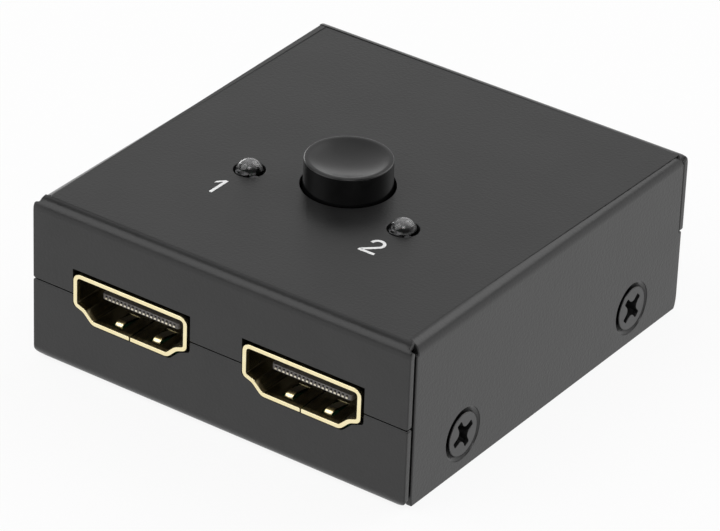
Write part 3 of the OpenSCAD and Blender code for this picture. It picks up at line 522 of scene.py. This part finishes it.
def foldTray(size):
    low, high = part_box("bottom_tray")
    bend = size["bend"] * mm
    wallIn = high.x - coverSheet["thick"] * mm
    flatX, flatY = wallIn - bend, high.y - bend
    floorX = high.x - size["floorEnd"] * mm
    panelEdge = size["panelEdge"] * mm
    halfTab, notch = size["tabWide"] / 2 * mm, size["tabNotch"] * mm
    tray = addPlate("bottomTray", (0, 0, low.z), 2 * flatX, 2 * flatY)
    for y in screwY:
        for offset in (-halfTab - notch, -halfTab, halfTab, halfTab + notch):
            openAll(tray)
            bpy.ops.mesh.bisect(plane_co=(0, y + offset, 0), plane_no=(0, 1, 0), threshold=near)
    for side in (-1, 1):
        pick(tray, "EDGE", lambda mid, run: abs(mid.x - side * flatX) < near
             and min(abs(mid.y - y) for y in screwY) > halfTab + notch)
        slideEdges((side * (floorX - flatX), 0, 0))
        pick(tray, "EDGE", lambda mid, run: abs(mid.x - side * flatX) < near
             and min(abs(mid.y - y) for y in screwY) < halfTab)
        bpy.ops.mesh.spin(steps=size["bendSteps"], angle=side * pi / 2, axis=(0, 1, 0),
                          center=(side * flatX, 0, low.z + bend))
        slideEdges((0, 0, size["tabHigh"] * mm - bend))
    for end in (-1, 1):
        pick(tray, "EDGE", lambda mid, run: abs(mid.y - end * flatY) < near and abs(run.x) > near)
        bpy.ops.mesh.spin(steps=size["bendSteps"], angle=-end * pi / 2, center=(0, end * flatY, low.z + bend),
                          axis=(1, 0, 0))
        slideEdges((0, 0, panelEdge - low.z - bend))
    levels = bendLevels(size, low.z, 1, size["earLow"]) + [(panelEdge, 1)]
    widenEars(tray, size, floorX, high.x, -1, levels)
    pick(tray, "VERT", lambda at: abs(abs(at.x) - high.x) < near and abs(at.z - panelEdge) < near)
    bpy.ops.mesh.bevel(offset=size["cornerRound"] * mm, segments=3, affect="VERTICES")
    outwards(tray)
    applyNew(tray, "SOLIDIFY", thickness=size["thick"] * mm, offset=-1, use_even_offset=True)
    halfSheet = size["thick"] / 2 * mm
    collarLong, collarRadius = size["collarLong"] * mm + halfSheet, size["collar"] / 2 * mm
    collars = []
    for side in (-1, 1):
        for y in screwY:
            start = (side * (wallIn - halfSheet), y, screwZ)
            collars.append(addRound("collar", start, (-side, 0, 0), collarLong, collarRadius))
    for collar in collars:
        applyNew(tray, "BOOLEAN", operation="UNION", object=collar, solver="EXACT")
    throwAway(collars)
    return tray


# a keyed port face, widest at the top, built from the half width and height of each level
def keyedFace(name, mouth, rows):
    half, top = rows[0]
    low = rows[1][1]
    deselectAll()
    bpy.ops.mesh.primitive_plane_add(size=1, location=mouth + Vector((0, 0, (top + low) / 2 * mm)),
                                     rotation=(pi / 2, 0, 0))
    bpy.context.object.scale = (2 * half * mm, (top - low) * mm, 1)
    face = takeNew(name)
    for nextHalf, nextZ in rows[2:]:
        pick(face, "EDGE", lambda mid, run: abs(mid.z - mouth.z - low * mm) < near and abs(run.x) > near)
        slideEdges((0, 0, (nextZ - low) * mm))
        bpy.ops.transform.resize(value=(nextHalf / half, 1, 1))
        half, low = nextHalf, nextZ
    openAll(face)
    bpy.ops.mesh.dissolve_faces()
    closeEdit()
    return face


# rounds each level's corners of a keyed face
def roundKeys(face, mouth, rows, radii):
    for (half, z), radius in zip(rows, radii):
        pick(face, "VERT", lambda at: abs(abs(at.x - mouth.x) - half * mm) < near
             and abs(at.z - mouth.z - z * mm) < near)
        bpy.ops.mesh.bevel(offset=radius * mm, segments=5, affect="VERTICES")
    closeEdit()


# rows: half width, and height above the middle of the mouth
# window: width, start and end behind the mouth; pocket: width, height and depth
portSize = {
    "wall": 0.48, "long": 11.0, "high": 5.55, "seam": 0.15, "rim": 0.06, "window": (1.45, 0.85, 3.9),
    "rows": ((7.5, 2.775), (7.5, -1.15), (6.2, -1.62), (5.0, -2.775)), "rounds": (0.9, 0.49, 0.25, 0.4),
    "cutRows": ((7.75, 3.075), (7.75, -1.325), (6.335, -1.837), (5.1, -3.025)),
    "cutRounds": (0.08, 0.3, 0.15, 0.3),
    "blockRows": ((7.0, 2.275), (7.0, -0.8), (5.92, -1.19), (4.79, -2.275)), "blockStart": 6.2,
    "fingerX": (-2.3, 2.7), "fingerWide": 0.95, "fingerThick": 0.3, "fingerRoot": 3.9, "fingerFoot": 0.3,
    "fingerCrest": 1.9, "fingerRise": 0.4, "fingerCurl": 0.6, "curlTurn": 84, "fingerEdge": 0.05,
    "tongueWide": 10.2, "tongueThick": 0.7, "tongueStart": 1.85, "tongueLap": 0.5, "tongueRound": 0.38,
    "tongueEdge": 0.06, "pitch": 0.5, "pockets": 19, "pocket": (0.26, 0.2, 0.45), "pocketRise": 0.12,
}


def portMouth(port):
    low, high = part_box(port + "_shell")
    y = low.y if port != "common" else high.y
    return Vector(((low.x + high.x) / 2, y, high.z - portSize["high"] / 2 * mm))


frontMouth = portMouth("port_1")


# cutter for a screw's hole: a shallow ring, a cone down to the seat, then the hole
def sinkCutter(size, side, y):
    wall, past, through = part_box("top_cover")[1].x, 0.5 * mm, 3 * mm
    ringDeep, seatDeep = size["ringDeep"] * mm, coverSheet["thick"] * mm
    wide = (size["head"] / 2 + size["ring"]) * mm
    seat, hole = size["seat"] / 2 * mm, size["hole"] / 2 * mm
    sink = addRound("screwCut", (side * (wall + past), y, screwZ), (-side, 0, 0), ringDeep + past, wide,
                    steps=96)
    pick(sink, "FACE", lambda mid, normal: normal.x * side < -0.9)
    slideFaces((side * (ringDeep - seatDeep), 0, 0))
    bpy.ops.transform.resize(value=(1, seat / wide, seat / wide))
    slideFaces((-side * size["seatEdge"] * mm, 0, 0))
    bpy.ops.transform.resize(value=(1, hole / seat, hole / seat))
    slideFaces((-side * through, 0, 0))
    outwards(sink)
    return sink


def portCutter(size, port):
    before, through = 1 * mm, 4 * mm
    mouth = portMouth(port)
    way = -1 if port == "common" else 1
    mouth.y -= way * before
    cutter = keyedFace("portCut", mouth, size["cutRows"])
    roundKeys(cutter, mouth, size["cutRows"], size["cutRounds"])
    openAll(cutter)
    slideFaces((0, way * through, 0))
    outwards(cutter)
    return cutter


# middles and radii of the holes in the top plate
def holePlaces():
    for node, wide in holeWide.items():
        low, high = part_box(node)
        yield (low + high) / 2, wide / 2 * mm


def holeCutters():
    top, past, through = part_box("top_cover")[1].z, 1 * mm, 3 * mm
    return [addRound("hole", (middle.x, middle.y, top + past), (0, 0, -1), through, radius, steps=128)
            for middle, radius in holePlaces()]


# softens the outer edges of the round holes
def roundRims(cover, width):
    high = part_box("top_cover")[1]
    rims = list(holePlaces())
    sink = (screwSize["head"] / 2 + screwSize["ring"]) * mm

    def onRim(mid, run):
        if mid.z > high.z - near:
            return any(abs((mid - hole).xy.length - radius) < 2 * near for hole, radius in rims)
        middles = [Vector((mid.x, y, screwZ)) for y in screwY]
        return abs(mid.x) > high.x - near and any(abs((mid - at).length - sink) < 2 * near for at in middles)

    pick(cover, "EDGE", onRim)
    bpy.ops.mesh.bevel(offset=width, segments=2, affect="EDGES")
    closeEdit()


def makeCase():
    cover, tray = foldCover(coverSheet), foldTray(traySheet)
    roundEdges(cover, coverSheet["edgeRound"] * mm, angle=50)
    roundEdges(tray, traySheet["edgeRound"] * mm, angle=50)
    cutters = [portCutter(portSize, port) for port in portNames]
    cutters += [sinkCutter(screwSize, side, y) for side in (-1, 1) for y in screwY]
    holes = holeCutters()
    cutAway(cover, cutters + holes)
    cutAway(tray, cutters)
    throwAway(cutters + holes)
    roundRims(cover, coverSheet["holeEdge"] * mm)
    finishPiece(cover, "housing", powderCoat, ("top_cover",))
    finishPiece(tray, "housing", powderCoat, ("bottom_tray",))


makeCase()
print("case folded")


# ports: a gold shell, four spring fingers and an insulator with its tongue

def makeShell(size, mouth):
    shell = keyedFace("portShell", mouth, size["rows"])
    roundKeys(shell, mouth, size["rows"], size["rounds"])
    openAll(shell)
    bpy.ops.mesh.select_mode(type="FACE")
    bpy.ops.mesh.inset(thickness=size["wall"] * mm, depth=0)
    bpy.ops.mesh.delete(type="FACE")
    openAll(shell)
    slideFaces((0, size["long"] * mm, 0))
    outwards(shell)
    half, wall = size["high"] / 2 * mm, size["wall"] * mm
    past, beyond = 0.1 * mm, 1 * mm
    seam, back = size["seam"] / 2 * mm, size["long"] * mm
    cutters = [addBlock("seam", mouth + Vector((-seam, -beyond, -half - past)),
                        mouth + Vector((seam, back + beyond, -half + wall + past)))]
    wide, start, end = (value * mm for value in size["window"])
    for x in size["fingerX"]:
        for z in (-half, half - wall):
            cutters.append(addBlock("window", mouth + Vector((x * mm - wide / 2, start, z - past)),
                                    mouth + Vector((x * mm + wide / 2, end, z + wall + past))))
    cutAway(shell, cutters)
    throwAway(cutters)
    roundEdges(shell, size["rim"] * mm, angle=50)
    return shell


# one curled finger, copied to both places below and then turned over for the top
def makeFinger(size, mouth):
    half, wall = size["high"] / 2 * mm, size["wall"] * mm
    root, crest, rise = size["fingerRoot"] * mm, size["fingerCrest"] * mm, size["fingerRise"] * mm
    level = mouth.z - half + wall / 2
    x, foot = mouth.x + size["fingerX"][0] * mm, size["fingerFoot"] * mm
    finger = addPlate("portFinger", (x, mouth.y + root + foot / 2, level), size["fingerWide"] * mm, foot)
    pick(finger, "EDGE", lambda mid, run: mid.y < mouth.y + root + near)
    slideEdges((0, crest - root, rise))
    lean = Vector((0, rise, root - crest)).normalized()
    centre = Vector((0, mouth.y + crest, level + rise)) - lean * size["fingerCurl"] * mm
    bpy.ops.mesh.spin(steps=8, angle=-radians(size["curlTurn"]), center=centre, axis=(1, 0, 0))
    outwards(finger)
    applyNew(finger, "SOLIDIFY", thickness=size["fingerThick"] * mm, offset=0, use_even_offset=True)
    roundEdges(finger, size["fingerEdge"] * mm, steps=2, angle=50)
    pair = copyOf(finger, "portFinger")
    shift(pair, ((size["fingerX"][1] - size["fingerX"][0]) * mm, 0, 0))
    joinInto(finger, [pair])
    upper = copyOf(finger, "portFinger")
    away = Matrix.Translation(mouth)
    upper.data.transform(away @ Matrix.Diagonal((1, 1, -1, 1)) @ away.inverted())
    upper.data.flip_normals()
    joinInto(finger, [upper])
    return finger


def makeInsulator(size, mouth):
    back = mouth + Vector((0, size["blockStart"] * mm, 0))
    block = keyedFace("portInsulator", back, size["blockRows"])
    openAll(block)
    slideFaces((0, (size["long"] - size["blockStart"]) * mm, 0))
    outwards(block)
    halfWide, halfThick = size["tongueWide"] / 2 * mm, size["tongueThick"] / 2 * mm
    start = size["tongueStart"] * mm
    tongueEnd = (size["blockStart"] + size["tongueLap"]) * mm
    tongue = addBlock("tongue", mouth + Vector((-halfWide, start, -halfThick)),
                      mouth + Vector((halfWide, tongueEnd, halfThick)))
    pick(tongue, "EDGE", lambda mid, run: mid.y < mouth.y + start + near and abs(run.z) > near)
    bpy.ops.mesh.bevel(offset=size["tongueRound"] * mm, segments=5, affect="EDGES")
    closeEdit()
    roundEdges(tongue, size["tongueEdge"] * mm, angle=50)
    wide, tall, deep = (value * mm for value in size["pocket"])
    first = addBlock("pocket", mouth + Vector((-wide / 2, start - deep, -tall / 2)),
                     mouth + Vector((wide / 2, start + deep, tall / 2)))
    pockets = []
    for i in range(size["pockets"]):
        pocket = copyOf(first, "pocket")
        shift(pocket, ((i - (size["pockets"] - 1) / 2) * size["pitch"] * mm, 0, size["pocketRise"] * mm))
        pockets.append(pocket)
    throwAway([first])
    joinInto(pockets[0], pockets[1:])
    cutAway(tongue, pockets[:1])
    throwAway(pockets[:1])
    joinInto(block, [tongue])
    return block


def makePorts():
    models = ((makeShell(portSize, frontMouth), "_shell", "shell_gold", shellGold),
              (makeFinger(portSize, frontMouth), "_shell", "shell_gold", fingerGold),
              (makeInsulator(portSize, frontMouth), "_insulator", "insulator_dark", tonguePlastic))
    for model, ending, slotName, finish in models:
        name = model.name
        for port in portNames:
            piece = copyOf(model, name + port.title().replace("_", ""))
            shift(piece, -frontMouth)
            shift(piece, portMouth(port), pi if port == "common" else 0)
            finishPiece(piece, "housing", finish, (port + ending,))
        throwAway([model])


makePorts()
print("ports made")


# countersunk cross-head screws

def crossCutter(size):
    deselectAll()
    wing, reach, past = size["wing"] * mm, size["cross"] * mm, 0.05 * mm
    bpy.ops.mesh.primitive_plane_add(size=2 * wing, location=(past, 0, 0), rotation=(0, pi / 2, 0))
    cross = takeNew("cross")
    for way in (Vector((0, 1, 0)), Vector((0, -1, 0)), Vector((0, 0, 1)), Vector((0, 0, -1))):
        pick(cross, "EDGE", lambda mid, run: (mid - way * wing).yz.length < near)
        slideEdges(way * (reach - wing))
    openAll(cross)
    bpy.ops.mesh.dissolve_faces()
    pick(cross, "VERT", lambda at: abs(abs(at.y) - wing) < near and abs(abs(at.z) - wing) < near)
    bpy.ops.mesh.bevel(offset=size["fillet"] * mm, segments=5, affect="VERTICES")
    pick(cross, "VERT", lambda at: max(abs(at.y), abs(at.z)) > reach - near)
    bpy.ops.mesh.bevel(offset=size["wingRound"] * mm, segments=3, affect="VERTICES")
    openAll(cross)
    bpy.ops.mesh.select_mode(type="FACE")
    for depth, taper in size["recess"]:
        slideFaces((-depth * mm, 0, 0))
        bpy.ops.transform.resize(value=(1, taper, taper))
    outwards(cross)
    return cross


def makeScrew(size):
    head, shank, tip = size["head"] / 2 * mm, size["shank"] / 2 * mm, size["tip"] * mm
    screw = addRound("coverScrew", (0, 0, 0), (-1, 0, 0), head - shank, head, shank, steps=96)
    pick(screw, "FACE", lambda mid, normal: normal.x < -0.99)
    slideFaces((head - shank + tip - size["long"] * mm, 0, 0))
    slideFaces((-tip, 0, 0))
    bpy.ops.transform.resize(value=(1, size["tipShare"], size["tipShare"]))
    pick(screw, "EDGE", lambda mid, run: mid.x > -near)
    bpy.ops.mesh.bevel(offset=size["headEdge"] * mm, segments=3, affect="EDGES")
    outwards(screw)
    return screw


# the inside of the cross is coloured near black: painted shade in the recess
def paintRecessShade(screw, size, y):
    screw.data.materials.append(recessShadeBlack)
    head, shank = size["head"] / 2 * mm, size["shank"] / 2 * mm
    lip, skin = 0.1 * mm, 0.12 * mm  # this near the face or the cone is still outside
    for polygon in screw.data.polygons:
        mid = polygon.center
        depth = screwHigh.x + size["rise"] * mm - abs(mid.x)
        away = (mid - Vector((mid.x, y, screwZ))).length
        inCross = lip < depth < head - shank and away < size["cross"] * mm + lip
        onCone = abs(away - (head - depth)) < skin
        if inCross and not onCone:
            polygon.material_index = 1


def makeScrews(size):
    blank, cross = makeScrew(size), crossCutter(size)
    for side in (-1, 1):
        for y, turn in zip(screwY, size["turns"]):
            screw, cutter = copyOf(blank, "coverScrew"), copyOf(cross, "cross")
            cutter.data.transform(Matrix.Rotation(radians(turn), 4, "X"))
            cutAway(screw, [cutter])
            throwAway([cutter])
            roundEdges(screw, size["crossEdge"] * mm, steps=2, angle=50)
            shift(screw, (side * (screwHigh.x + size["rise"] * mm), y, screwZ), 0 if side > 0 else pi)
            finishPiece(screw, "housing", screwBlack, ("cover_screws",))
            paintRecessShade(screw, size, y)
    throwAway([blank, cross])


makeScrews(screwSize)
print("screws made")


# push button cap

capSize = {"draft": 0.075, "rim": 0.5, "dish": 0.68, "rings": 9, "lip": 0.08, "shoulder": 0.16, "wall": 1.2,
           "roof": 1.8}


def makeCap(size):
    low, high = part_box("button_cap")
    middle, radius = (low + high) / 2, (high.x - low.x) / 2
    topRadius = radius - size["draft"] * mm
    cap = addRound("buttonCap", (middle.x, middle.y, low.z), (0, 0, 1), high.z - low.z, radius, topRadius,
                   steps=128)
    pick(cap, "FACE", lambda mid, normal: normal.z > 0.99)
    bpy.ops.mesh.inset(thickness=size["rim"] * mm, depth=0)
    dishRadius = topRadius - size["rim"] * mm
    level = 0
    for ring in range(1, size["rings"]):
        share = 1 - ring / size["rings"]
        nextLevel = size["dish"] * mm * (1 - share ** 2)
        bpy.ops.mesh.inset(thickness=dishRadius / size["rings"], depth=-(nextLevel - level))
        level = nextLevel
    pick(cap, "FACE", lambda mid, normal: normal.z < -0.99)
    bpy.ops.mesh.inset(thickness=size["wall"] * mm, depth=0)
    slideFaces((0, 0, high.z - low.z - size["roof"] * mm))
    across = 0.3 * mm  # edges longer than this run across the rings
    for ringRadius, width, steps in ((topRadius, size["shoulder"], 4), (dishRadius, size["lip"], 3)):
        pick(cap, "EDGE", lambda mid, run: mid.z > high.z - near and run.length < across
             and abs((mid - middle).xy.length - ringRadius) < 2 * near)
        bpy.ops.mesh.bevel(offset=width * mm, segments=steps, affect="EDGES")
    outwards(cap)
    finishPiece(cap, "button", buttonGloss, ("button_cap",), smooth=50)


makeCap(capSize)


# clear lamp lenses

lampSize = {"wide": 3.0, "flange": 3.8, "flangeHigh": 1.0}


def makeLens(size, node):
    low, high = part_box(node)
    middle, radius = (low + high) / 2, size["wide"] / 2 * mm
    dome = Vector((middle.x, middle.y, high.z - radius))
    deselectAll()
    bpy.ops.mesh.primitive_uv_sphere_add(segments=64, ring_count=32, radius=radius, location=dome)
    lens = takeNew("lampLens")
    openAll(lens)
    bpy.ops.mesh.bisect(plane_co=dome, plane_no=(0, 0, 1), clear_inner=True, threshold=near)
    pick(lens, "EDGE", lambda mid, run: abs(mid.z - dome.z) < near)
    slideEdges((0, 0, low.z + size["flangeHigh"] * mm - dome.z))
    slideEdges((0, 0, 0))
    bpy.ops.transform.resize(value=(size["flange"] / size["wide"], size["flange"] / size["wide"], 1))
    slideEdges((0, 0, -size["flangeHigh"] * mm))
    bpy.ops.mesh.edge_face_add()
    outwards(lens)
    finishPiece(lens, "housing", clearEpoxy, (node,), smooth=50)


for lamp in ("lamp_1_lens", "lamp_2_lens"):
    makeLens(lampSize, lamp)
print("button and lamps made")


# printed figures beside the lamps

# stem: x and both ends; flag: reach; bowl: middle and radius; foot: place; base: both ends and level
figureInk = {"stroke": 0.36, "thick": 0.03, "gap": 0.003,
             "oneStem": (-10.5, -13.4, -10.42), "oneFlag": (-0.68, -0.72), "flagShare": 1.15,
             "twoBowl": (9.61, -11.2, 0.72), "twoTurn": 218, "twoFoot": (8.76, -12.96),
             "twoBase": (8.52, 10.52, -13.29)}
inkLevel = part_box("top_cover")[1].z + figureInk["gap"] * mm


def liftInk(figure):
    openAll(figure)
    bpy.ops.mesh.remove_doubles(threshold=near / 2)
    slideFaces((0, 0, figureInk["thick"] * mm))
    outwards(figure)
    finishPiece(figure, "housing", printedInk)


def printOne(size):
    stroke = size["stroke"] * mm
    x, lowY, highY = (value * mm for value in size["oneStem"])
    figure = addPlate("figureOne", (x, (lowY + highY) / 2, inkLevel), stroke, highY - lowY)
    flagLow = highY - stroke * size["flagShare"]
    openAll(figure)
    bpy.ops.mesh.bisect(plane_co=(0, flagLow, 0), plane_no=(0, 1, 0), threshold=near)
    pick(figure, "EDGE", lambda mid, run: mid.x < x - stroke / 2 + near and mid.y > flagLow)
    flagX, flagY = size["oneFlag"]
    slideEdges((flagX * mm, flagY * mm, 0))
    liftInk(figure)


def printTwo(size):
    stroke = size["stroke"] * mm
    bowlX, bowlY, bowl = (value * mm for value in size["twoBowl"])
    thin = 0.02 * mm  # a sliver to spin the bowl from
    figure = addPlate("figureTwo", (bowlX - bowl, bowlY - thin / 2, inkLevel), stroke, thin)
    pick(figure, "EDGE", lambda mid, run: mid.y > bowlY - near / 2 and abs(run.x) > near)
    bpy.ops.mesh.spin(steps=20, angle=radians(size["twoTurn"]), center=(bowlX, bowlY, 0), axis=(0, 0, 1))
    footX, footY = (value * mm for value in size["twoFoot"])
    angle = pi - radians(size["twoTurn"])
    end = Vector((bowlX + bowl * cos(angle), bowlY + bowl * sin(angle), 0))
    slideEdges(Vector((footX, footY, 0)) - end)
    left, right, low = (value * mm for value in size["twoBase"])
    base = addPlate("figureTwoBase", ((left + right) / 2, low + stroke / 2, inkLevel), right - left, stroke)
    liftInk(figure)
    liftInk(base)


printOne(figureInk)
printTwo(figureInk)
print("figures printed")


# floor, light and camera

# light levels of the tent, and its soft boxes: direction, half angle in degrees, level
studio = {"floorSize": 3000, "floorDrop": 0.02, "floorColour": 0.93, "floorGlow": 0.9, "dim": 0.2,
          "backdrop": 0.65, "backSpan": (-0.05, 0.5), "horizon": 1.1, "horizonSpan": (0.05, 0.35),
          "boxEdge": 5,
          "boxes": (((-0.49, -0.51, 0.71), 25, 1.7), ((0.25, 0.73, 0.63), 22, 1.5),
                    ((-0.88, 0.45, 0.14), 13, 2.6), ((0.29, -0.4, 0.87), 10, 4.5))}


# white floor: partly lit, partly glowing, so that the shadow on it stays pale
def layFloor():
    wide = studio["floorSize"] * mm
    floor = addPlate("paleFloor", (0, 0, -studio["floorDrop"] * mm), wide, wide)
    material, tree, shader = newMaterial("paleFloor")
    shader.inputs["Base Color"].default_value = (*(studio["floorColour"],) * 3, 1)
    shader.inputs["Roughness"].default_value = 1.0
    shader.inputs["Specular IOR Level"].default_value = 0.0
    glow = addNode(tree, "ShaderNodeEmission", Strength=1.0)
    path = addNode(tree, "ShaderNodeLightPath").outputs
    seen = path["Is Camera Ray"]
    for other in ("Is Glossy Ray", "Is Transmission Ray"):
        seen = combine(tree, "MAXIMUM", seen, path[other])
    mix = addNode(tree, "ShaderNodeMixShader")
    tree.links.new(combine(tree, "MULTIPLY", seen, studio["floorGlow"]), mix.inputs["Fac"])
    tree.links.new(shader.outputs["BSDF"], mix.inputs[1])
    tree.links.new(glow.outputs["Emission"], mix.inputs[2])
    tree.links.new(mix.outputs["Shader"], tree.nodes["Material Output"].inputs["Surface"])
    floor.data.materials.append(material)


# light tent: a grey backdrop, dim behind the camera, pale at the horizon, with soft boxes
def hangSky():
    world = bpy.data.worlds.new("lightTent")
    bpy.context.scene.world = world
    world.use_nodes = True
    tree = world.node_tree
    way = addNode(tree, "ShaderNodeTexCoord").outputs["Generated"]
    axes = splitAxes(tree, way)
    level = addNode(tree, "ShaderNodeMix")
    back = mapTo(tree, axes["Y"], *studio["backSpan"], studio["dim"], studio["backdrop"])
    tree.links.new(mapTo(tree, axes["Z"], *studio["horizonSpan"], 1.0, 0.0), level.inputs[0])
    tree.links.new(back, level.inputs[2])
    level.inputs[3].default_value = studio["horizon"]
    total, edge = level.outputs[0], studio["boxEdge"]
    for axis, half, strength in studio["boxes"]:
        dot = addNode(tree, "ShaderNodeVectorMath")
        dot.operation = "DOT_PRODUCT"
        dot.inputs[1].default_value = Vector(axis).normalized()
        tree.links.new(way, dot.inputs[0])
        inner, outer = cos(radians(half - edge)), cos(radians(half + edge))
        total = combine(tree, "ADD", total, mapTo(tree, dot.outputs["Value"], outer, inner, 0.0, strength))
    sky = tree.nodes["Background"]
    sky.inputs["Color"].default_value = (1, 1, 1, 1)
    tree.links.new(total, sky.inputs["Strength"])


shot = {"lens": 230.95, "sensor": 36.0, "place": (242.04, -351.38, 261.11), "azimuth": 34.587,
        "elevation": 30.657, "roll": 2.182, "clip": (10, 10000)}


def setCamera():
    data = bpy.data.cameras.new("photoCamera")
    camera = bpy.data.objects.new("photoCamera", data)
    bpy.context.scene.collection.objects.link(camera)
    data.lens, data.sensor_width, data.sensor_fit = shot["lens"], shot["sensor"], "HORIZONTAL"
    turn = Matrix.Rotation(radians(shot["azimuth"]), 4, "Z")
    tilt = Matrix.Rotation(radians(90 - shot["elevation"]), 4, "X")
    roll = Matrix.Rotation(radians(shot["roll"]), 4, "Z")
    camera.matrix_world = Matrix.Translation(Vector(shot["place"]) * mm) @ turn @ tilt @ roll
    data.clip_start, data.clip_end = (value * mm for value in shot["clip"])
    bpy.context.scene.camera = camera


layFloor()
hangSky()
setCamera()
bpy.context.scene.view_settings.view_transform = "Standard"
print("studio set")
